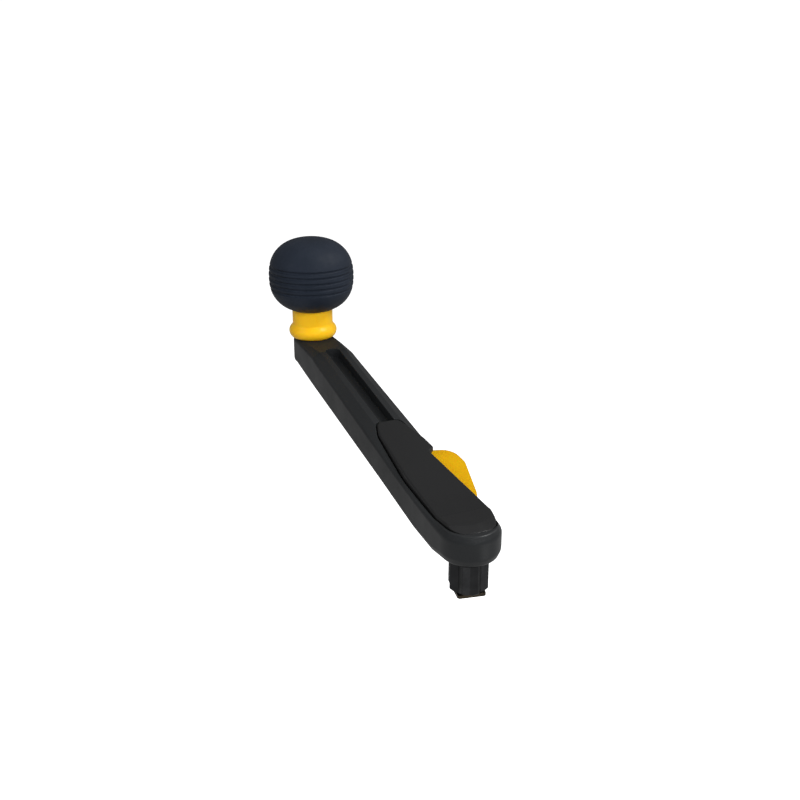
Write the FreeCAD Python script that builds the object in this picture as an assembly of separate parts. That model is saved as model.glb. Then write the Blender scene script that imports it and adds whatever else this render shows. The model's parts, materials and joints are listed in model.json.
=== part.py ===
import FreeCAD, Part
import math
import os

os.makedirs("parts", exist_ok=True)

# Winch handle, lock-in type, 254 mm (10 in) from the drive axis to the knob axis.
# Millimetres, +Z up along the drive axis, +X along the arm, origin on the hub seat.
# Heights below are drawn from a datum SEAT_HEIGHT under the seat; save() sets the seat at 0.

# ---- driving dimensions -----------------------------------------------------------------
ARM_LENGTH = 254.0          # drive axis to knob axis
SEAT_HEIGHT = 2.4           # seat that rests on the winch top, above the datum
HUB_RADIUS = 18.5
HUB_TOP = 24.0
HUB_TOP_RADIUS = 16.0
HUB_LOWER_EDGE = 7.0        # height of the hub's sloping lower edge
RISE_START = 12.7           # the arm rises from here ...
RISE_END = 213.0            # ... and its top levels off here
TOP_SLOPE = 0.189
PLATFORM_TOP = 61.86        # level platform under the knob
UNDER_START = 0.8           # underside height, carried on to the drive axis
UNDER_SLOPE = 0.164
WIDTH_KNOB = 14.87          # half width of the arm at the knob axis
RIM_HALF = 9.48             # half width of the flat top
SHOULDER_DROP = 4.1
CHANNEL_HALF = 5.24
CHANNEL_DEPTH = 7.2
CHANNEL_START = 112.0
CHANNEL_END = 217.5

COVER_TOP_NEAR = 26.0       # level cover top over the hub
COVER_RISE_START = 10.0     # the cover top starts to rise here
COVER_TOP_FAR = 43.7        # cover top height at its tip
COVER_TIP = 116.0
COVER_NEAR_END = -11.2
COVER_NOSE_START = -5.0     # the near end slopes down from here ...
COVER_NOSE_ANGLE = 21.0     # ... by this angle, in degrees ...
COVER_NOSE_RADIUS = 19.0    # ... outside a circle of this radius
COVER_EDGE = 1.2            # rounding along the cover's top edge
COVER_DEEP = 5.0
COVER_SKIN = 3.0
COVER_GAP = 0.9
SHADOW_GROOVE = 2.2         # the gap's extra depth on the +Y side and round the near end

POCKET_RADIUS = 10.2
POCKET_REACH = 85.6
LEVER_TRAVEL = 11.6         # degrees

STAR_FLATS = 17.46          # 11/16 in across flats
STAR_POINT_RADIUS = 12.1
STAR_BOTTOM = -17.5
STAR_SOCKET_DEPTH = 4.8
SHANK_RADIUS = 6.0
SHANK_TOP = 11.9
HUB_FLOOR = 6.5
SPINDLE_RADIUS = 3.0
SPIGOT_BORE = 4.0

PLATE_TOP = -17.7
PLATE_BOTTOM = -19.8
PLATE_WIDTH = 17.0
PLATE_CORNER_RADIUS = 11.55
PLATE_REST_ANGLE = 33.4     # azimuth of one corner with the lever released

BALL_RADIUS = 31.5
BALL_CENTRE = PLATFORM_TOP + 46.3
BALL_UPPER = 28.4
BALL_LOWER = 26.8
BALL_POWER = 2.4
GROOVE_HEIGHTS = (-7.7, -3.6, 0.5, 4.6, 8.7)   # above the ball's equator
GROOVE_WIDTH = 2.4
GROOVE_DEPTH = 1.1
NECK_RADIUS = 15.1
LIP_RADIUS = 17.9
STUD_RADIUS = 6.0
STUD_TOP = 118.0

SCREW_PLACES = [(30.0, 11.4), (68.0, 11.4), (100.0, 0.0)]

Z_AXIS = FreeCAD.Vector(0, 0, 1)


# ---- helpers ----------------------------------------------------------------------------
def vec(x, y, z):
    return FreeCAD.Vector(x, y, z)


def cylinder(radius, bottom, top, x=0.0, y=0.0):
    return Part.makeCylinder(radius, top - bottom, vec(x, y, bottom), Z_AXIS)


def tube(outer, inner, bottom, top, x=0.0, y=0.0):
    return cylinder(outer, bottom, top, x, y).cut(cylinder(inner, bottom - 1, top + 1, x, y))


def hexagon(flats, bottom, top, x=0.0, y=0.0):
    corner = flats / math.sqrt(3.0)
    points = []
    for step in range(7):
        angle = math.radians(60.0 * step)
        points.append(vec(x + corner * math.cos(angle), y + corner * math.sin(angle), bottom))
    return Part.Face(Part.makePolygon(points)).extrude(vec(0, 0, top - bottom))


def rounded_wire(corners):
    """Closed wire through corners (x, y, z, radius), each corner turned into a tangent arc."""
    count = len(corners)
    starts = []
    ends = []
    middles = []
    for index in range(count):
        here = vec(*corners[index][:3])
        before = vec(*corners[index - 1][:3])
        after = vec(*corners[(index + 1) % count][:3])
        radius = corners[index][3]
        to_before = (before - here).normalize()
        to_after = (after - here).normalize()
        half = 0.5 * to_before.getAngle(to_after)
        reach = radius / math.tan(half)
        bisector = (to_before + to_after).normalize()
        centre_distance = radius / math.sin(half)
        starts.append(here + to_before * reach)
        ends.append(here + to_after * reach)
        middles.append(here + bisector * (centre_distance - radius))
    edges = []
    for index in range(count):
        if corners[index][3] > 0.0:
            edges.append(Part.Arc(starts[index], middles[index], ends[index]).toShape())
        nxt = (index + 1) % count
        if (starts[nxt] - ends[index]).Length > 1e-4:
            edges.append(Part.makeLine(ends[index], starts[nxt]))
    return Part.Wire(edges)


def plan_prism(corners, bottom, top):
    """Upright prism over a rounded plan outline given as (x, y, radius)."""
    wire = rounded_wire([(x, y, bottom, radius) for x, y, radius in corners])
    return Part.Face(wire).extrude(vec(0, 0, top - bottom))


def side_prism(points, half_width):
    """Prism across the arm over a side profile given as (x, z)."""
    corners = [vec(x, -half_width, z) for x, z in points]
    corners.append(corners[0])
    return Part.Face(Part.makePolygon(corners)).extrude(vec(0, 2 * half_width, 0))


def revolve_edges(edges, x=0.0):
    """Full turn of a closed profile, drawn in the XZ plane, about the upright axis at x."""
    face = Part.Face(Part.Wire(edges))
    return face.revolve(vec(x, 0, 0), Z_AXIS, 360)


def revolve_points(points, x=0.0):
    corners = [vec(x + radius, 0, z) for radius, z in points]
    corners.append(corners[0])
    return Part.Face(Part.makePolygon(corners)).revolve(vec(x, 0, 0), Z_AXIS, 360)


def fuse_all(shapes):
    result = shapes[0]
    for shape in shapes[1:]:
        result = result.fuse(shape)
    return result


def save(name, shape):
    solids = shape.Solids
    if len(solids) == 1:
        shape = solids[0]
    else:
        shape = Part.makeCompound(solids)
    shape.translate(vec(0, 0, -SEAT_HEIGHT))
    print(name, "solids", len(solids), "valid", shape.isValid(), "volume", round(shape.Volume, 1))
    shape.exportStep("parts/" + name + ".step")


# ---- shared shapes ----------------------------------------------------------------------
def top_height(x):
    return HUB_TOP + TOP_SLOPE * (min(max(x, RISE_START), RISE_END) - RISE_START)


def underside(x):
    return UNDER_START + UNDER_SLOPE * x


def cover_top(x):
    slope = (COVER_TOP_FAR - COVER_TOP_NEAR) / (COVER_TIP - COVER_RISE_START)
    return COVER_TOP_NEAR + slope * max(0.0, x - COVER_RISE_START)


def cover_outline(grow):
    """Plan outline of the cover, grown evenly; the -Y side is cut in beside the lever."""
    nose = COVER_NEAR_END - grow
    return [
        (COVER_TIP + grow, -7.6 - 0.6 * grow, 6.0 + grow),
        (COVER_TIP + grow, 7.6 + 0.6 * grow, 6.0 + grow),
        (103.0, 11.7 + grow, 20.0),
        (55.0, 15.2 + grow, 60.0),
        (12.0, 15.4 + grow, 24.0),
        (nose, 13.2 + grow, 11.6 + grow),
        (nose, -13.2 - grow, 11.6 + grow),
        (8.0, -18.3 - grow, 7.0),
        (74.5, -11.0 - grow, 1.5),
        (78.4, -15.7 - grow, 2.2),
        (90.0, -14.6 - grow, 8.0),
        (103.0, -11.7 - grow, 20.0),
    ]


def cover_layer(top_drop, bottom_drop):
    """Side profile between two depths below the cover top."""
    top = [(x, cover_top(x)) for x in (-20.0, COVER_RISE_START, 130.0)]
    upper = [(x, z - top_drop) for x, z in top]
    lower = [(x, z - bottom_drop) for x, z in reversed(top)]
    return side_prism(upper + lower, 40.0)


def pocket_plan(bottom, top, inset):
    """Plan of the lever pocket: open on the -Y side, closed by an arc about the drive axis."""
    corners = [(4.0, 9.0 - inset, 0.5), (20.0, 8.7 - inset, 10.0), (90.0, 8.7 - inset, 0.5)]
    corners.append((90.0, -45.0, 0.5))
    corners.append((33.5 + inset, -45.0, 0.5))
    corners.append((33.5 + inset, -24.8, 0.5))
    corners.append((7.0, -11.2 + inset, 2.0))
    corners.append((4.0, -9.0 + inset, 0.5))
    reach = cylinder(POCKET_REACH - inset, bottom, top)
    return plan_prism(corners, bottom, top).common(reach)


def star(flats, point_radius, bottom, top):
    """Eight-point star: two squares an eighth of a turn apart, points slightly cut off."""
    block = Part.makeBox(flats, flats, top - bottom, vec(-flats / 2, -flats / 2, bottom))
    turned = block.copy()
    turned.rotate(vec(0, 0, 0), Z_AXIS, 45)
    return block.fuse(turned).removeSplitter().common(cylinder(point_radius, bottom, top))


# ---- arm --------------------------------------------------------------------------------
def side_corners(wall, bottom, top, rim, drop, crease, low):
    """One side of the arm or hub from its bottom to its flat top, as (half width, height,
    rounding): a lower edge of size low, an upright wall, a crease and a sloping shoulder."""
    return [
        (wall - 0.81 * low, bottom, 0.4),
        (wall - 0.23 * low, bottom + 0.43 * low, 0.53 * low),
        (wall, bottom + low, 0.53 * low),
        (wall, top - drop, crease),
        (rim, top, 1.4),
    ]


def beam_section(x, *sizes):
    side = side_corners(*sizes)
    left = [(x, -width, z, rounding) for width, z, rounding in side]
    right = [(x, width, z, rounding) for width, z, rounding in reversed(side)]
    return rounded_wire(left + right)


def hub_sizes():
    rim = HUB_TOP_RADIUS
    return HUB_RADIUS, SEAT_HEIGHT, HUB_TOP, rim, 3.6, 4.2, HUB_LOWER_EDGE


def beam():
    sections = [
        beam_section(0.0, *hub_sizes()),
        beam_section(RISE_START, 18.8, SEAT_HEIGHT, HUB_TOP + 0.7, 15.8, 2.0, 2.6, 5.5),
        beam_section(36.0, 18.7, underside(36.0), top_height(36.0), 12.0, 2.5, 1.8, 2.8),
        beam_section(62.0, 18.0, underside(62.0), top_height(62.0), 10.0, 4.0, 2.0, 2.4),
    ]
    for x, wall in ((90.0, 17.4), (205.0, 16.0)):
        sizes = (wall, underside(x), top_height(x), RIM_HALF, SHOULDER_DROP, 2.2, 2.4)
        sections.append(beam_section(x, *sizes))
    for x, wall, rim, drop in (
        (RISE_END, 15.9, 9.9, 3.9),
        (232.0, 15.5, 11.4, 2.8),
        (ARM_LENGTH, WIDTH_KNOB, 12.2, 2.4),
    ):
        sections.append(beam_section(x, wall, underside(x), PLATFORM_TOP, rim, drop, 2.2, 2.4))
    return Part.makeLoft(sections, True, True)


def knob_end():
    """Half-round end about the knob axis, with the same shoulder as the arm beside it."""
    corners = [
        (ARM_LENGTH, 0, 40.0, 0.0),
        (ARM_LENGTH + WIDTH_KNOB, 0, 40.0, 0.0),
        (ARM_LENGTH + WIDTH_KNOB, 0, PLATFORM_TOP - 2.4, 2.2),
        (ARM_LENGTH + 12.2, 0, PLATFORM_TOP, 1.4),
        (ARM_LENGTH, 0, PLATFORM_TOP, 0.0),
    ]
    turned = Part.Face(rounded_wire(corners)).revolve(vec(ARM_LENGTH, 0, 0), Z_AXIS, 360)
    above = [(200.0, underside(200.0)), (290.0, underside(290.0)), (290.0, 90.0), (200.0, 90.0)]
    beyond = Part.makeBox(60, 60, 100, vec(ARM_LENGTH, -30, 20))
    end = turned.common(side_prism(above, 40.0)).common(beyond)
    floor = [face for face in end.Faces if face.normalAt(0, 0).z < -0.5]
    lower_edges = [edge for edge in floor[0].Edges if not isinstance(edge.Curve, Part.Line)]
    return end.makeFillet(2.0, lower_edges)


def hub():
    """Round near end: the arm's own outline at the drive axis, turned through half a circle."""
    corners = [(0.0, 0.0, SEAT_HEIGHT, 0.0)]
    corners.extend((width, 0.0, z, rounding) for width, z, rounding in side_corners(*hub_sizes()))
    corners.append((0.0, 0.0, HUB_TOP, 0.0))
    half = Part.Face(rounded_wire(corners)).revolve(vec(0, 0, 0), Z_AXIS, 180)
    half.rotate(vec(0, 0, 0), Z_AXIS, 90)
    return half


def top_channel():
    corners = [
        (CHANNEL_START, -CHANNEL_HALF, 0.0),
        (CHANNEL_END, -CHANNEL_HALF, CHANNEL_HALF - 0.01),
        (CHANNEL_END, CHANNEL_HALF, CHANNEL_HALF - 0.01),
        (CHANNEL_START, CHANNEL_HALF, 0.0),
    ]
    floor_near = top_height(CHANNEL_START) - CHANNEL_DEPTH
    floor_far = floor_near + TOP_SLOPE * (230.0 - CHANNEL_START)
    above = [(CHANNEL_START, floor_near), (230.0, floor_far), (230.0, 90.0), (CHANNEL_START, 90.0)]
    return plan_prism(corners, 20.0, 90.0).common(side_prism(above, 20.0))


def under_channel():
    corners = [(122.0, -6.5, 6.0), (226.0, -6.0, 5.5), (226.0, 6.0, 5.5), (122.0, 6.5, 6.0)]
    below = [
        (110.0, 0.0),
        (240.0, 0.0),
        (240.0, underside(240.0) + 5.0),
        (110.0, underside(110.0) + 5.0),
    ]
    return plan_prism(corners, 0.0, 90.0).common(side_prism(below, 20.0))


def lever_pocket():
    """Space the lever swings in, with the deeper round well for the spring and nut."""
    above = [(-30.0, 14.2), (20.0, 14.2), (95.0, 28.4), (95.0, 90.0), (-30.0, 90.0)]
    swing = pocket_plan(5.0, 80.0, 0.0).common(side_prism(above, 60.0))
    well = cylinder(POCKET_RADIUS, HUB_FLOOR, 60.0)
    spring_slot = Part.makeBox(4.6, 1.7, 2.2, vec(-POCKET_RADIUS - 3.4, -0.85, 11.6))
    return [swing, well, spring_slot]


def cover_recess():
    """Seat of the cover, and the narrow groove that makes the gap beside it look dark."""
    outer = plan_prism(cover_outline(COVER_GAP), 0.0, 90.0)
    inner = plan_prism(cover_outline(-0.5), -1.0, 91.0)
    ring = outer.cut(inner).common(cover_layer(-20.0, COVER_DEEP + SHADOW_GROOVE))
    stretch = Part.makeBox(125.0, 36.0, 90.0, vec(-20.0, -16.0, 0.0))
    return [outer.common(cover_layer(-20.0, COVER_DEEP)), ring.common(stretch)]


def arm_body():
    body = fuse_all([beam(), knob_end(), hub()]).removeSplitter()
    cuts = [top_channel(), under_channel()]
    cuts.extend(cover_recess())
    cuts.extend(lever_pocket())
    cuts.append(star(STAR_FLATS + 0.04, STAR_POINT_RADIUS + 0.02, -1.0, STAR_SOCKET_DEPTH))
    cuts.append(cylinder(SHANK_RADIUS + 0.05, 0.0, 10.0))
    for x, y in SCREW_PLACES:
        cuts.append(cylinder(1.65, -5.0, 60.0, x, y))
        cuts.append(cylinder(3.1, -20.0, underside(x) + 4.0, x, y))
    cuts.append(cylinder(5.05, 30.0, 70.0, ARM_LENGTH))
    cuts.append(cylinder(10.6, 30.0, 50.9, ARM_LENGTH))
    cuts.append(cylinder(8.05, PLATFORM_TOP - 2.0, 70.0, ARM_LENGTH))
    for cut in cuts:
        body = body.cut(cut)
    return body


# ---- cover ------------------------------------------------------------------------------
def upper_border(slab):
    """Edges where a slab's upward faces meet its sides."""
    seen = {}
    for face in slab.Faces:
        if face.normalAt(0, 0).z > 0.5:
            for edge in face.Edges:
                seen.setdefault(edge.hashCode(), []).append(edge)
    return [edges[0] for edges in seen.values() if len(edges) == 1]


def cover_nose_slope():
    """What the sloping near end takes off the cover: outside of a cone about an upright axis."""
    centre = COVER_NOSE_START + COVER_NOSE_RADIUS
    far = COVER_NOSE_RADIUS + 25.0
    fall = 25.0 * math.tan(math.radians(COVER_NOSE_ANGLE))
    points = [(COVER_NOSE_RADIUS, COVER_TOP_NEAR), (far, COVER_TOP_NEAR - fall)]
    points.extend([(far, 60.0), (COVER_NOSE_RADIUS, 60.0)])
    near_half = Part.makeBox(60.0, 120.0, 90.0, vec(centre - 60.0, -60.0, 0.0))
    return revolve_points(points, centre).common(near_half)


def top_cover():
    """Cover with a rounded top edge and a sloping near end, hollow over the lever pocket."""
    slab = plan_prism(cover_outline(0.0), 0.0, 90.0).common(cover_layer(0.0, COVER_DEEP))
    slab = slab.makeFillet(COVER_EDGE, upper_border(slab))
    shell = slab.cut(cover_nose_slope())
    hollow = pocket_plan(0.0, 90.0, 0.0).fuse(cylinder(POCKET_RADIUS, 0.0, 90.0))
    shell = shell.cut(hollow.common(cover_layer(COVER_SKIN, COVER_DEEP + 2.0)))
    for x, y in SCREW_PLACES:
        shell = shell.cut(cylinder(2.1, 0.0, cover_top(x) - 1.2, x, y))
    return shell


def cover_inserts():
    shapes = []
    for x, y in SCREW_PLACES:
        top = cover_top(x) - 1.3
        bottom = cover_top(x) - COVER_DEEP + 0.5
        shapes.append(tube(2.1, 1.5, bottom, top, x, y))
    return Part.makeCompound(shapes)


def cover_screws():
    shapes = []
    for x, y in SCREW_PLACES:
        seat = underside(x) + 4.0
        head = cylinder(2.8, seat - 2.4, seat, x, y).cut(hexagon(2.5, seat - 3.0, seat - 1.1, x, y))
        shapes.append(head.fuse(cylinder(1.5, seat - 0.5, cover_top(x) - 1.7, x, y)))
    return Part.makeCompound(shapes)


# ---- drive ------------------------------------------------------------------------------
def drive_spigot():
    body = star(STAR_FLATS, STAR_POINT_RADIUS, STAR_BOTTOM, STAR_SOCKET_DEPTH)
    lead_in = [
        (0.0, STAR_BOTTOM),
        (STAR_POINT_RADIUS - 1.9, STAR_BOTTOM),
        (STAR_POINT_RADIUS + 0.5, STAR_BOTTOM + 2.4),
        (STAR_POINT_RADIUS + 0.5, 5.0),
        (0.0, 5.0),
    ]
    body = body.common(revolve_points(lead_in))
    body = body.fuse(cylinder(SHANK_RADIUS, STAR_SOCKET_DEPTH - 1.0, SHANK_TOP))
    body = body.cut(cylinder(SPIGOT_BORE, -30.0, 30.0))
    return body.cut(cylinder(5.3, STAR_BOTTOM - 1.0, STAR_BOTTOM + 2.2))


def spigot_washer():
    return tube(9.6, SHANK_RADIUS + 0.05, HUB_FLOOR, HUB_FLOOR + 1.0)


def spigot_nut():
    nut = hexagon(16.8, HUB_FLOOR + 1.0, HUB_FLOOR + 5.0)
    return nut.cut(cylinder(SHANK_RADIUS, 0.0, 20.0))


def spindle_bush(bottom, top):
    return tube(SPIGOT_BORE, SPINDLE_RADIUS + 0.04, bottom, top)


def spindle_seal():
    return Part.makeTorus(4.25, 0.85, vec(0, 0, STAR_BOTTOM + 1.1), Z_AXIS)


def lock_spindle():
    shaft = cylinder(SPINDLE_RADIUS, PLATE_TOP, 12.0)
    key = Part.makeBox(4.2, 4.2, 5.4, vec(-2.1, -2.1, 12.0))
    foot = Part.makeBox(4.0, 4.0, 1.0, vec(-2.0, -2.0, PLATE_TOP - 1.0))
    foot.rotate(vec(0, 0, 0), Z_AXIS, PLATE_REST_ANGLE)
    body = fuse_all([shaft, key, foot])
    body = body.cut(cylinder(1.5, 8.0, 20.0))
    return body.cut(cylinder(1.25, -25.0, -11.0))


def lock_plate():
    half = PLATE_WIDTH / 2
    block = Part.makeBox(PLATE_WIDTH, PLATE_WIDTH, PLATE_TOP - PLATE_BOTTOM, vec(-half, -half, PLATE_BOTTOM))
    edge = [
        (0.0, PLATE_BOTTOM),
        (PLATE_CORNER_RADIUS - 0.3, PLATE_BOTTOM),
        (PLATE_CORNER_RADIUS, PLATE_BOTTOM + 0.3),
        (PLATE_CORNER_RADIUS, PLATE_TOP),
        (0.0, PLATE_TOP),
    ]
    plate = block.common(revolve_points(edge))
    plate.rotate(vec(0, 0, 0), Z_AXIS, PLATE_REST_ANGLE - 45.0)
    socket = Part.makeBox(4.04, 4.04, 2.0, vec(-2.02, -2.02, PLATE_TOP - 1.0))
    socket.rotate(vec(0, 0, 0), Z_AXIS, PLATE_REST_ANGLE)
    plate = plate.cut(socket)
    sink = Part.makeCone(3.25, 1.35, 1.25, vec(0, 0, PLATE_BOTTOM - 0.05), Z_AXIS)
    return plate.cut(sink).cut(cylinder(1.3, -25.0, -15.0))


def lock_plate_screw():
    head = Part.makeCone(3.0, 1.25, 1.05, vec(0, 0, PLATE_BOTTOM + 0.05), Z_AXIS)
    shank = cylinder(1.25, PLATE_BOTTOM + 0.6, -11.5)
    return head.fuse(shank).cut(hexagon(2.0, PLATE_BOTTOM - 1.0, PLATE_BOTTOM + 0.9))


# ---- lever ------------------------------------------------------------------------------
def release_lever():
    """Thumb lever, drawn at rest: it stands out of the -Y side and turns about the drive axis."""
    corners = [
        (84.0, -11.2, 1.5),
        (80.2, -29.8, 11.0),
        (65.0, -31.4, 10.0),
        (33.0, -23.0, 25.0),
        (12.0, -10.8, 4.0),
        (3.0, -8.0, 4.0),
        (-4.0, -8.0, 2.0),
        (-4.0, -2.0, 1.0),
        (10.0, -3.0, 8.0),
        (34.0, -9.6, 30.0),
    ]
    profile = [(-20.0, 17.45), (5.0, 17.45), (95.0, 17.45 + TOP_SLOPE * 92.0)]
    profile.extend([(95.0, 29.4), (20.0, 15.2), (-20.0, 15.2)])
    blade = plan_prism(corners, 0.0, 60.0).common(side_prism(profile, 60.0))
    boss = cylinder(5.8, 12.0, 17.45)
    disc = cylinder(9.0, 15.2, 17.45)
    lever = fuse_all([blade, boss, disc])
    key = Part.makeBox(4.24, 4.24, 20.0, vec(-2.12, -2.12, 5.0))
    return lever.cut(key).cut(spring_window())


def spring_window():
    """Arc slot under the lever for the raised end of the spring."""
    ring = tube(8.2, 6.2, 14.0, 16.8)
    corners = [(0.0, 0.0, 0.0)]
    for angle in (70.0, 100.0):
        corners.append((20.0 * math.cos(math.radians(angle)), 20.0 * math.sin(math.radians(angle)), 0.0))
    return plan_prism(corners, 14.0, 16.8).common(ring)


def lever_washer():
    return tube(4.6, 1.6, 17.5, 18.5)


def lever_screw():
    head = cylinder(2.8, 18.5, 20.9).cut(hexagon(2.5, 19.6, 22.0))
    return head.fuse(cylinder(1.5, 9.0, 18.8))


def return_spring():
    """Torsion spring round the lever boss, one end in the hub wall."""
    mean = 7.2
    wire = 0.5
    pitch = 1.15
    turns = 1.75
    base = 12.5
    helix = Part.makeHelix(pitch, pitch * turns, mean)
    helix.translate(vec(0, 0, base))
    section = Part.Wire(Part.makeCircle(wire, vec(mean, 0, base), vec(0, 1, 0)))
    coil = Part.Wire(helix).makePipeShell([section], True, True)
    coil.rotate(vec(0, 0, 0), Z_AXIS, 180)
    foot = Part.makeCylinder(wire, 6.0, vec(-mean + wire, 0, base), vec(-1, 0, 0))
    angle = math.radians(180 + 360 * turns)
    end = vec(mean * math.cos(angle), mean * math.sin(angle), base + pitch * turns - 0.4)
    rise = Part.makeCylinder(wire, 16.4 - end.z, end, Z_AXIS)
    return fuse_all([coil, foot, rise])


# ---- knob -------------------------------------------------------------------------------
def ball_radius(height):
    """Radius of the ball's rounded-square outline at a height above its equator."""
    reach = BALL_UPPER if height > 0.0 else BALL_LOWER
    return BALL_RADIUS * (1.0 - (abs(height) / reach) ** BALL_POWER) ** (1.0 / BALL_POWER)


def ball_outline_point(height, depth=0.0):
    return vec(ARM_LENGTH + ball_radius(height) - depth, 0, BALL_CENTRE + height)


def ball_stretch(low, high):
    """Smooth stretch of the outline; the heights crowd together towards a pole."""
    reach = BALL_UPPER if high > 0.0 else -BALL_LOWER
    first = math.asin(max(-1.0, min(1.0, low / abs(reach))))
    last = math.asin(max(-1.0, min(1.0, high / abs(reach))))
    steps = 8 if high - low > 6.0 else 3
    points = []
    for step in range(steps + 1):
        height = abs(reach) * math.sin(first + (last - first) * step / steps)
        points.append(ball_outline_point(height))
    curve = Part.BSplineCurve()
    curve.interpolate(points)
    return curve.toShape()


def knob_core():
    """Collar with a rounded lip and a neck, continued upward inside the ball as a tube."""
    base = PLATFORM_TOP + 0.35
    x = ARM_LENGTH
    lip = Part.BSplineCurve()
    lip.interpolate([
        vec(x + 15.9, 0, base),
        vec(x + 17.1, 0, base + 1.4),
        vec(x + LIP_RADIUS, 0, base + 4.2),
        vec(x + 17.5, 0, base + 6.4),
        vec(x + 16.3, 0, base + 8.2),
        vec(x + 15.4, 0, base + 9.4),
        vec(x + NECK_RADIUS, 0, base + 11.2),
    ])
    points = [
        vec(x + NECK_RADIUS, 0, base + 11.2),
        vec(x + NECK_RADIUS, 0, 88.5),
        vec(x + 12.0, 0, 88.5),
        vec(x + 12.0, 0, 98.0),
        vec(x + 15.0, 0, 98.0),
        vec(x + 15.0, 0, 101.0),
        vec(x + 12.0, 0, 101.0),
        vec(x + 12.0, 0, 126.0),
        vec(x + 9.5, 0, 126.0),
        vec(x + 9.5, 0, STUD_TOP),
        vec(x + 8.0, 0, STUD_TOP),
        vec(x + 8.0, 0, base + 1.65),
        vec(x + 11.0, 0, base + 1.65),
        vec(x + 11.0, 0, base),
        vec(x + 15.9, 0, base),
    ]
    edges = [lip.toShape()]
    for start, end in zip(points[:-1], points[1:]):
        edges.append(Part.makeLine(start, end))
    return revolve_edges(Part.sortEdges(edges)[0], x)


def knob_grip():
    """Soft ball with grooves round its middle, hollow to fit the core."""
    half = GROOVE_WIDTH / 2
    edges = []
    low = -BALL_LOWER
    for centre in GROOVE_HEIGHTS:
        edges.append(ball_stretch(low, centre - half))
        below = ball_outline_point(centre - half)
        bottom = ball_outline_point(centre, GROOVE_DEPTH)
        above = ball_outline_point(centre + half)
        edges.append(Part.Arc(below, bottom, above).toShape())
        low = centre + half
    edges.append(ball_stretch(low, BALL_UPPER))
    axis_bottom = ball_outline_point(-BALL_LOWER)
    axis_top = ball_outline_point(BALL_UPPER)
    edges.append(Part.makeLine(axis_top, axis_bottom))
    ball = revolve_edges(Part.sortEdges(edges)[0], ARM_LENGTH)
    inside = revolve_points([
        (0.0, 60.0), (NECK_RADIUS, 60.0), (NECK_RADIUS, 88.5), (12.0, 88.5), (12.0, 98.0),
        (15.0, 98.0), (15.0, 101.0), (12.0, 101.0), (12.0, 126.0), (0.0, 126.0),
    ], ARM_LENGTH)
    return ball.cut(inside)


def knob_spindle():
    """Stud fixed in the arm, with a shoulder let into the platform."""
    x = ARM_LENGTH
    body = fuse_all([
        cylinder(5.0, 44.6, PLATFORM_TOP, x),
        cylinder(8.0, PLATFORM_TOP - 2.0, PLATFORM_TOP, x),
        cylinder(STUD_RADIUS, PLATFORM_TOP, STUD_TOP, x),
    ])
    return body.cut(cylinder(3.0, 104.0, 130.0, x))


def knob_spindle_washer():
    return tube(10.0, 5.1, 49.4, 50.9, ARM_LENGTH)


def knob_spindle_nut():
    return hexagon(16.0, 45.2, 49.4, ARM_LENGTH).cut(cylinder(5.02, 30.0, 60.0, ARM_LENGTH))


def knob_thrust_washer():
    return tube(10.8, STUD_RADIUS + 0.1, PLATFORM_TOP, PLATFORM_TOP + 1.9, ARM_LENGTH)


def knob_bush(bottom, top):
    return tube(8.0, STUD_RADIUS + 0.04, bottom, top, ARM_LENGTH)


def knob_retaining_washer():
    return tube(9.2, 3.1, STUD_TOP, STUD_TOP + 1.6, ARM_LENGTH)


def knob_retaining_screw():
    x = ARM_LENGTH
    head = cylinder(5.0, STUD_TOP + 1.6, STUD_TOP + 5.2, x)
    head = head.cut(hexagon(4.0, STUD_TOP + 3.2, STUD_TOP + 6.0, x))
    return head.fuse(cylinder(3.0, 105.0, STUD_TOP + 2.0, x))


def knob_cap():
    return cylinder(9.5, 124.0, 126.0, ARM_LENGTH)


# ---- output -----------------------------------------------------------------------------
save("arm_body", arm_body())
save("top_cover", top_cover())
save("cover_inserts", cover_inserts())
save("cover_screws", cover_screws())
save("drive_spigot", drive_spigot())
save("spigot_washer", spigot_washer())
save("spigot_nut", spigot_nut())
save("spindle_bush_upper", spindle_bush(5.9, SHANK_TOP))
save("spindle_bush_lower", spindle_bush(STAR_BOTTOM + 2.3, STAR_BOTTOM + 9.0))
save("spindle_seal", spindle_seal())
save("lock_spindle", lock_spindle())
save("lock_plate", lock_plate())
save("lock_plate_screw", lock_plate_screw())
save("release_lever", release_lever())
save("lever_washer", lever_washer())
save("lever_screw", lever_screw())
save("return_spring", return_spring())
save("knob_core", knob_core())
save("knob_grip", knob_grip())
save("knob_spindle", knob_spindle())
save("knob_spindle_washer", knob_spindle_washer())
save("knob_spindle_nut", knob_spindle_nut())
save("knob_thrust_washer", knob_thrust_washer())
save("knob_bush_lower", knob_bush(64.0, 76.0))
save("knob_bush_upper", knob_bush(106.0, STUD_TOP - 0.1))
save("knob_retaining_washer", knob_retaining_washer())
save("knob_retaining_screw", knob_retaining_screw())
save("knob_cap", knob_cap())
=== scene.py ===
"""Looks of the lock-in winch handle: materials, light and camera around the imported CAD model."""
import json
import math

import bpy
from mathutils import Matrix, Vector

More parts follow.
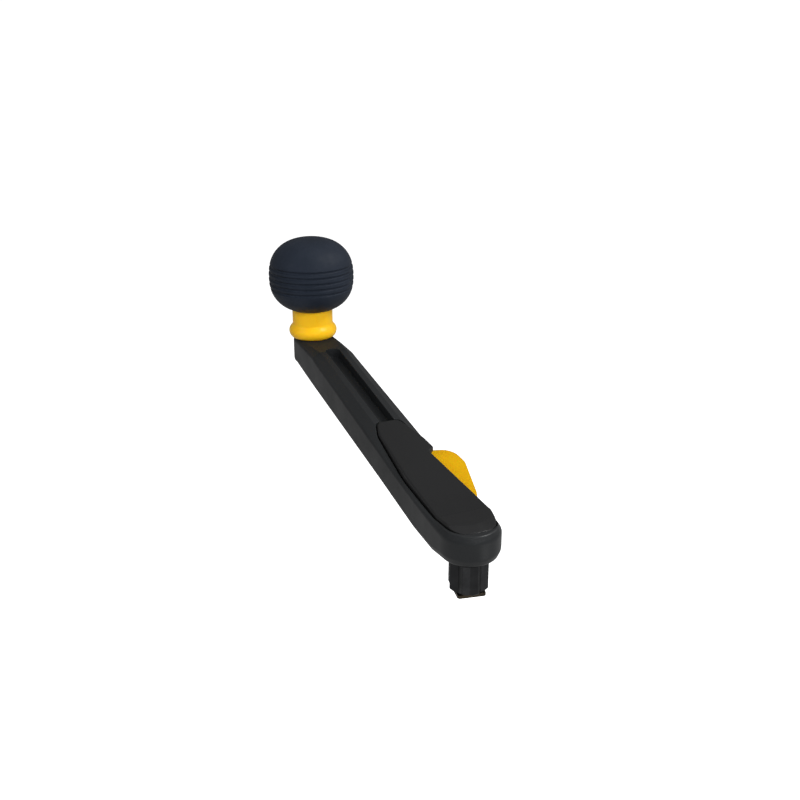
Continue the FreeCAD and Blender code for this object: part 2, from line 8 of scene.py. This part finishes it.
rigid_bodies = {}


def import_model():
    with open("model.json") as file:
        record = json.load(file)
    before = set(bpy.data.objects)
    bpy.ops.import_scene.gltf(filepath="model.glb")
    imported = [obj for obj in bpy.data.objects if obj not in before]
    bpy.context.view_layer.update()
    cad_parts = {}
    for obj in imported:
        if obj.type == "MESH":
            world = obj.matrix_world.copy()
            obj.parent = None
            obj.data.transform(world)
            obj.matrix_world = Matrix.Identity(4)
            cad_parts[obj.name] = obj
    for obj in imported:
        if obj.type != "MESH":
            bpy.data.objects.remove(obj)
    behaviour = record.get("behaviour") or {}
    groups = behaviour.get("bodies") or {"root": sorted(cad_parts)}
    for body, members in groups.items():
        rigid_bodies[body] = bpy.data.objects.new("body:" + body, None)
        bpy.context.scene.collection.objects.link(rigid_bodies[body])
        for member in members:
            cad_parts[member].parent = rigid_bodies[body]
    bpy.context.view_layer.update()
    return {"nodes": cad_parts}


# ---- camera and floor, in metres and degrees, in the frame of the CAD model --------------
CAMERA_PLACE = (-0.46573, 0.25643, 0.30477)
CAMERA_HEADING = -24.565
CAMERA_PITCH = 21.412
CAMERA_LENS = 47.25
FLOOR_HEIGHT = -0.30
FLOOR_SIZE = 800.0


# ---- places on the object, metres --------------------------------------------------------
PLATFORM_HEIGHT = 0.05946   # flat under the knob
DULL_START = 0.0035         # its dull finish begins this far below the flat ...
DULL_FULL = 0.0003          # ... and is complete this far below it
HUB_POLISH_REACH = 0.05     # the polish of the hub fades out this far along the arm


# ---- base colours: darkest and lightest of each material ---------------------------------
TONES = {
    "arm": ((0.0105, 0.0115, 0.0125), (0.0165, 0.0178, 0.0190)),
    # cover: the arm's charcoal plastic made darker, as painted shade for its well lit top
    "cover": ((0.0070, 0.0071, 0.0075), (0.0105, 0.0107, 0.0112)),
    # lever: the collar's yellow acetal made darker, as painted shade for its strongly lit top
    "lever": ((0.53, 0.275, 0.001), (0.60, 0.335, 0.002)),
    "collar": ((0.83, 0.455, 0.007), (0.90, 0.52, 0.013)),
    "rubber": ((0.010, 0.014, 0.022), (0.015, 0.020, 0.031)),
    "acetal": ((0.62, 0.61, 0.56), (0.72, 0.71, 0.67)),
    "spigot": ((0.040, 0.041, 0.043), (0.080, 0.081, 0.084)),
    "plate": ((0.045, 0.040, 0.032), (0.17, 0.13, 0.085)),
    "steel": ((0.42, 0.42, 0.43), (0.62, 0.62, 0.62)),
    "brass": ((0.55, 0.38, 0.14), (0.75, 0.56, 0.26)),
    "paper": ((0.90, 0.90, 0.90), (0.92, 0.92, 0.92)),
}


# ---- pieces that share a material --------------------------------------------------------
STEEL_PIECES = [
    "cover_screws", "spigot_washer", "spigot_nut", "lock_spindle", "lock_plate_screw",
    "lever_washer", "lever_screw", "return_spring", "knob_spindle", "knob_spindle_washer",
    "knob_spindle_nut", "knob_retaining_washer", "knob_retaining_screw",
]
ACETAL_PIECES = [
    "spindle_bush_upper", "spindle_bush_lower", "knob_thrust_washer", "knob_bush_lower",
    "knob_bush_upper", "knob_cap",
]


# ---- studio brightness -------------------------------------------------------------------
WORLD_STOPS = (             # height of the direction, -1 to 1, and how bright the studio is there
    (-1.0, 0.42),
    (-0.10, 0.40),
    (0.08, 0.20),
    (0.62, 0.20),
    (0.90, 0.26),
    (1.0, 0.90),
)
LIGHTS = (                  # name, place, aim, size, watts, whether it shows as shine
    ("front_soft", (-0.95, 0.05, 0.62), (0.2, 0.0, 0.08), (0.8, 0.5), 13.5, False),
    ("right_soft", (0.15, -1.05, 0.62), (0.10, 0.0, 0.05), (0.45, 0.6), 0.9, True),
    ("top_right_soft", (-0.30, -0.60, 0.95), (0.0, 0.0, 0.02), (0.16, 0.16), 5.5, True),
    ("left_fill", (0.10, 1.10, 0.80), (0.10, 0.0, 0.03), (0.6, 0.6), 5.0, False),
    ("low_right_card", (-0.42, -0.24, -0.20), (0.0, 0.0, 0.0), (0.25, 0.2), 0.08, True),
)


# ---- small node helpers ------------------------------------------------------------------
class Recipe:
    """One procedural material, with short calls for the nodes it is made of."""

    def __init__(self, name):
        self.material = bpy.data.materials.new(name)
        self.material.use_nodes = True
        self.tree = self.material.node_tree
        self.shader = self.tree.nodes["Principled BSDF"]
        self.place = self.add("ShaderNodeTexCoord").outputs["Object"]

    def add(self, kind):
        return self.tree.nodes.new(kind)

    def link(self, output, target):
        self.tree.links.new(output, target)

    def set(self, **values):
        for name, value in values.items():
            self.shader.inputs[name.replace("_", " ")].default_value = value

    def noise(self, scale, detail=3.0, roughness=0.5, stretch=None):
        node = self.add("ShaderNodeTexNoise")
        node.inputs["Scale"].default_value = scale
        node.inputs["Detail"].default_value = detail
        node.inputs["Roughness"].default_value = roughness
        if stretch is None:
            self.link(self.place, node.inputs["Vector"])
        else:
            mapping = self.add("ShaderNodeMapping")
            mapping.inputs["Scale"].default_value = stretch
            self.link(self.place, mapping.inputs["Vector"])
            self.link(mapping.outputs["Vector"], node.inputs["Vector"])
        return node.outputs["Fac"]

    def along(self, axis):
        """Position along one axis in metres, from the drive axis at the height of the seat."""
        node = self.add("ShaderNodeSeparateXYZ")
        self.link(self.place, node.inputs["Vector"])
        return node.outputs[axis]

    def cells(self, scale):
        node = self.add("ShaderNodeTexVoronoi")
        node.feature = "SMOOTH_F1"
        node.inputs["Scale"].default_value = scale
        self.link(self.place, node.inputs["Vector"])
        return node.outputs["Distance"]

    def spread(self, value, low_in, high_in, low_out, high_out):
        node = self.add("ShaderNodeMapRange")
        node.inputs["From Min"].default_value = low_in
        node.inputs["From Max"].default_value = high_in
        node.inputs["To Min"].default_value = low_out
        node.inputs["To Max"].default_value = high_out
        self.link(value, node.inputs["Value"])
        return node.outputs["Result"]

    def math(self, operation, first, second):
        node = self.add("ShaderNodeMath")
        node.operation = operation
        for socket, value in zip(node.inputs, (first, second)):
            if isinstance(value, (int, float)):
                socket.default_value = value
            else:
                self.link(value, socket)
        return node.outputs["Value"]

    def colours(self, factor, first, second):
        node = self.add("ShaderNodeMix")
        node.data_type = "RGBA"
        node.inputs["A"].default_value = (*first, 1.0)
        node.inputs["B"].default_value = (*second, 1.0)
        self.link(factor, node.inputs["Factor"])
        return node.outputs["Result"]

    def worn_edges(self, radius):
        """0 on flat ground, towards 1 on edges sharper than the radius."""
        bevel = self.add("ShaderNodeBevel")
        bevel.samples = 4
        bevel.inputs["Radius"].default_value = radius
        geometry = self.add("ShaderNodeNewGeometry")
        dot = self.add("ShaderNodeVectorMath")
        dot.operation = "DOT_PRODUCT"
        self.link(bevel.outputs["Normal"], dot.inputs[0])
        self.link(geometry.outputs["Normal"], dot.inputs[1])
        return self.spread(dot.outputs["Value"], 0.995, 0.90, 0.0, 1.0)

    def relief(self, height, distance, strength, edge_radius):
        """Bump over shading-only rounded edges."""
        bevel = self.add("ShaderNodeBevel")
        bevel.samples = 6
        bevel.inputs["Radius"].default_value = edge_radius
        bump = self.add("ShaderNodeBump")
        bump.inputs["Distance"].default_value = distance
        bump.inputs["Strength"].default_value = strength
        self.link(height, bump.inputs["Height"])
        self.link(bevel.outputs["Normal"], bump.inputs["Normal"])
        self.link(bump.outputs["Normal"], self.shader.inputs["Normal"])


def moulded_black(name, dark, light, edge_radius):
    """Glass-filled nylon: charcoal, fine spark-eroded grain, slight flow marks, shinier hub,
    dull flat on the knob platform."""
    r = Recipe(name)
    dull_start = PLATFORM_HEIGHT - DULL_START
    dull_full = PLATFORM_HEIGHT - DULL_FULL
    dull = r.spread(r.along("Z"), dull_start, dull_full, 0.0, 1.0)
    r.link(r.spread(dull, 0.0, 1.0, 0.40, 0.05), r.shader.inputs["Specular IOR Level"])
    flow = r.noise(28.0, 4.0, 0.55, (0.35, 1.0, 1.0))
    grain = r.noise(2600.0, 2.0, 0.6)
    rubbed = r.noise(60.0, 3.0, 0.6)
    edge = r.worn_edges(edge_radius * 1.4)
    worn = r.math("ADD", r.math("MULTIPLY", edge, 0.5), r.math("MULTIPLY", dull, 0.6))
    tone = r.math("ADD", r.spread(flow, 0.3, 0.7, 0.0, 0.7), worn)
    r.link(r.colours(tone, dark, light), r.shader.inputs["Base Color"])
    polish = r.spread(r.along("X"), 0.0, HUB_POLISH_REACH, 0.14, 0.0)
    rough = r.math("SUBTRACT", r.spread(rubbed, 0.3, 0.7, 0.44, 0.54), r.math("MULTIPLY", edge, 0.06))
    r.link(r.math("SUBTRACT", rough, polish), r.shader.inputs["Roughness"])
    height = r.math("ADD", r.math("MULTIPLY", grain, 0.7), r.cells(1500.0))
    r.relief(height, 0.00006, 0.35, edge_radius)
    return r.material


def moulded_yellow(name, dark, light, shine, edge_radius):
    """Yellow acetal: semi-gloss, faint flow lines, slightly translucent."""
    r = Recipe(name)
    r.set(Specular_IOR_Level=shine, Subsurface_Weight=0.12, Subsurface_Scale=0.002)
    flow = r.noise(45.0, 4.0, 0.6, (1.0, 1.0, 0.5))
    speck = r.noise(900.0, 2.0, 0.5)
    edge = r.worn_edges(edge_radius)
    tone = r.math("ADD", r.spread(flow, 0.3, 0.7, 0.0, 0.8), r.math("MULTIPLY", edge, 0.3))
    r.link(r.colours(tone, dark, light), r.shader.inputs["Base Color"])
    r.link(r.spread(speck, 0.3, 0.7, 0.30, 0.40), r.shader.inputs["Roughness"])
    r.relief(r.math("ADD", speck, r.math("MULTIPLY", flow, 2.0)), 0.00005, 0.3, edge_radius)
    return r.material


def soft_rubber(name):
    """Dark navy over-moulded rubber: matt, with a fine pebble grain."""
    r = Recipe(name)
    r.set(Specular_IOR_Level=0.22)
    pebble = r.cells(1300.0)
    cloud = r.noise(35.0, 4.0, 0.6)
    grip = r.noise(240.0, 2.0, 0.5)
    tone = r.spread(cloud, 0.3, 0.7, 0.0, 1.0)
    r.link(r.colours(tone, *TONES["rubber"]), r.shader.inputs["Base Color"])
    r.link(r.spread(grip, 0.3, 0.7, 0.52, 0.66), r.shader.inputs["Roughness"])
    r.relief(r.math("ADD", pebble, r.math("MULTIPLY", grip, 0.5)), 0.00008, 0.4, 0.0003)
    return r.material


def moulded_acetal(name):
    """Off-white bearing plastic, waxy and slightly uneven."""
    r = Recipe(name)
    r.set(Subsurface_Weight=0.1, Subsurface_Scale=0.002)
    cloud = r.noise(120.0, 3.0, 0.5)
    speck = r.noise(1200.0, 2.0, 0.5)
    r.link(r.colours(cloud, *TONES["acetal"]), r.shader.inputs["Base Color"])
    r.link(r.spread(speck, 0.3, 0.7, 0.35, 0.45), r.shader.inputs["Roughness"])
    r.relief(speck, 0.00003, 0.3, 0.0003)
    return r.material


def metal(name, dark, light, rough, edge_radius):
    """Turned or milled metal: tool marks round the axis, brighter worn edges."""
    r = Recipe(name)
    r.set(Metallic=1.0)
    marks = r.noise(420.0, 3.0, 0.6, (1.0, 1.0, 14.0))
    cloud = r.noise(90.0, 3.0, 0.6)
    edge = r.worn_edges(edge_radius)
    tone = r.math("ADD", r.spread(cloud, 0.3, 0.7, 0.0, 0.6), r.math("MULTIPLY", edge, 0.5))
    r.link(r.colours(tone, dark, light), r.shader.inputs["Base Color"])
    r.link(r.spread(marks, 0.3, 0.7, rough - 0.07, rough + 0.09), r.shader.inputs["Roughness"])
    r.relief(marks, 0.00003, 0.4, edge_radius)
    return r.material


def dress(nodes, names, material):
    """Give every named piece one material."""
    for name in names:
        data = nodes[name].data
        data.materials.clear()
        data.materials.append(material)


def dress_all(nodes):
    arm = moulded_black("arm_moulding", *TONES["arm"], 0.0007)
    # the cover's darker colour is painted shade for its well lit top
    cover = moulded_black("cover_moulding_painted_shade", *TONES["cover"], 0.0008)
    dress(nodes, ["arm_body"], arm)
    dress(nodes, ["top_cover"], cover)
    # the lever's darker yellow is painted shade for its strongly lit top
    lever = moulded_yellow("lever_moulding_painted_shade", *TONES["lever"], 0.10, 0.0012)
    collar = moulded_yellow("collar_moulding", *TONES["collar"], 0.24, 0.0005)
    dress(nodes, ["release_lever"], lever)
    dress(nodes, ["knob_core"], collar)
    dress(nodes, ["knob_grip"], soft_rubber("grip_rubber"))
    dress(nodes, ["drive_spigot"], metal("spigot_anodised", *TONES["spigot"], 0.40, 0.0004))
    dress(nodes, ["lock_plate"], metal("plate_bronze", *TONES["plate"], 0.38, 0.0004))
    dress(nodes, STEEL_PIECES, metal("stainless", *TONES["steel"], 0.30, 0.0003))
    dress(nodes, ["cover_inserts"], metal("insert_brass", *TONES["brass"], 0.32, 0.0003))
    dress(nodes, ACETAL_PIECES, moulded_acetal("natural_acetal"))
    dress(nodes, ["spindle_seal"], soft_rubber("seal_rubber"))


# ---- surroundings ------------------------------------------------------------------------
def pale_floor():
    """White paper floor. It shows to the camera, and the studio world lights the object."""
    r = Recipe("floor_paper")
    r.set(Roughness=0.9, Specular_IOR_Level=0.1, Emission_Strength=0.8)
    r.set(Emission_Color=(1.0, 1.0, 1.0, 1.0))
    cloud = r.noise(3.0, 2.0, 0.5)
    r.link(r.colours(cloud, *TONES["paper"]), r.shader.inputs["Base Color"])
    bpy.ops.mesh.primitive_plane_add(size=FLOOR_SIZE, location=(0.0, 0.0, FLOOR_HEIGHT))
    floor = bpy.context.object
    floor.name = "floor"
    floor.data.materials.append(r.material)
    floor.visible_diffuse = False
    floor.visible_glossy = False


def area_light(name, place, aim, size, watts, mirrored):
    """Soft box from place towards aim. If it is not mirrored it makes no shine, only light."""
    data = bpy.data.lights.new(name, "AREA")
    data.shape = "RECTANGLE"
    data.size, data.size_y = size
    data.energy = watts
    lamp = bpy.data.objects.new(name, data)
    lamp.location = place
    lamp.rotation_euler = (Vector(aim) - Vector(place)).to_track_quat("-Z", "Y").to_euler()
    lamp.visible_camera = False
    lamp.visible_glossy = mirrored
    bpy.context.scene.collection.objects.link(lamp)


def studio_world():
    """Studio light by height: white table, dim room, soft box overhead. The camera sees white."""
    world = bpy.data.worlds.new("studio")
    world.use_nodes = True
    tree = world.node_tree
    background = tree.nodes["Background"]
    direction = tree.nodes.new("ShaderNodeTexCoord")
    split = tree.nodes.new("ShaderNodeSeparateXYZ")
    unit = tree.nodes.new("ShaderNodeMapRange")
    unit.inputs["From Min"].default_value = -1.0
    ramp = tree.nodes.new("ShaderNodeValToRGB")
    stops = ramp.color_ramp.elements
    while len(stops) < len(WORLD_STOPS):
        stops.new(0.5)
    for stop, (height, level) in zip(stops, WORLD_STOPS):
        stop.position = 0.5 + 0.5 * height
        stop.color = (level, level, level, 1.0)
    tree.links.new(direction.outputs["Generated"], split.inputs["Vector"])
    tree.links.new(split.outputs["Z"], unit.inputs["Value"])
    tree.links.new(unit.outputs["Result"], ramp.inputs["Fac"])
    tree.links.new(ramp.outputs["Color"], background.inputs["Color"])
    backdrop = tree.nodes.new("ShaderNodeBackground")
    path = tree.nodes.new("ShaderNodeLightPath")
    choose = tree.nodes.new("ShaderNodeMixShader")
    tree.links.new(path.outputs["Is Camera Ray"], choose.inputs["Fac"])
    tree.links.new(background.outputs["Background"], choose.inputs[1])
    tree.links.new(backdrop.outputs["Background"], choose.inputs[2])
    backdrop.inputs["Color"].default_value = (1.0, 1.0, 1.0, 1.0)
    tree.links.new(choose.outputs["Shader"], tree.nodes["World Output"].inputs["Surface"])
    bpy.context.scene.world = world


def studio():
    studio_world()
    for light in LIGHTS:
        area_light(*light)


def camera():
    heading = math.radians(CAMERA_HEADING)
    pitch = math.radians(CAMERA_PITCH)
    forward = Vector((
        math.cos(heading) * math.cos(pitch),
        math.sin(heading) * math.cos(pitch),
        -math.sin(pitch),
    ))
    right = Vector((math.sin(heading), -math.cos(heading), 0.0))
    up = right.cross(forward)
    turn = Matrix((right, up, -forward)).transposed().to_4x4()
    data = bpy.data.cameras.new("camera")
    data.sensor_width = 36.0
    data.lens = CAMERA_LENS
    data.clip_start = 0.01
    data.clip_end = 1000.0
    lens = bpy.data.objects.new("camera", data)
    lens.matrix_world = Matrix.Translation(Vector(CAMERA_PLACE)) @ turn
    bpy.context.scene.collection.objects.link(lens)
    bpy.context.scene.camera = lens


def clear_scene():
    for thing in list(bpy.data.objects):
        bpy.data.objects.remove(thing)


clear_scene()
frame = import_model()
dress_all(frame["nodes"])
pale_floor()
studio()
camera()
bpy.context.scene.view_settings.view_transform = "Standard"
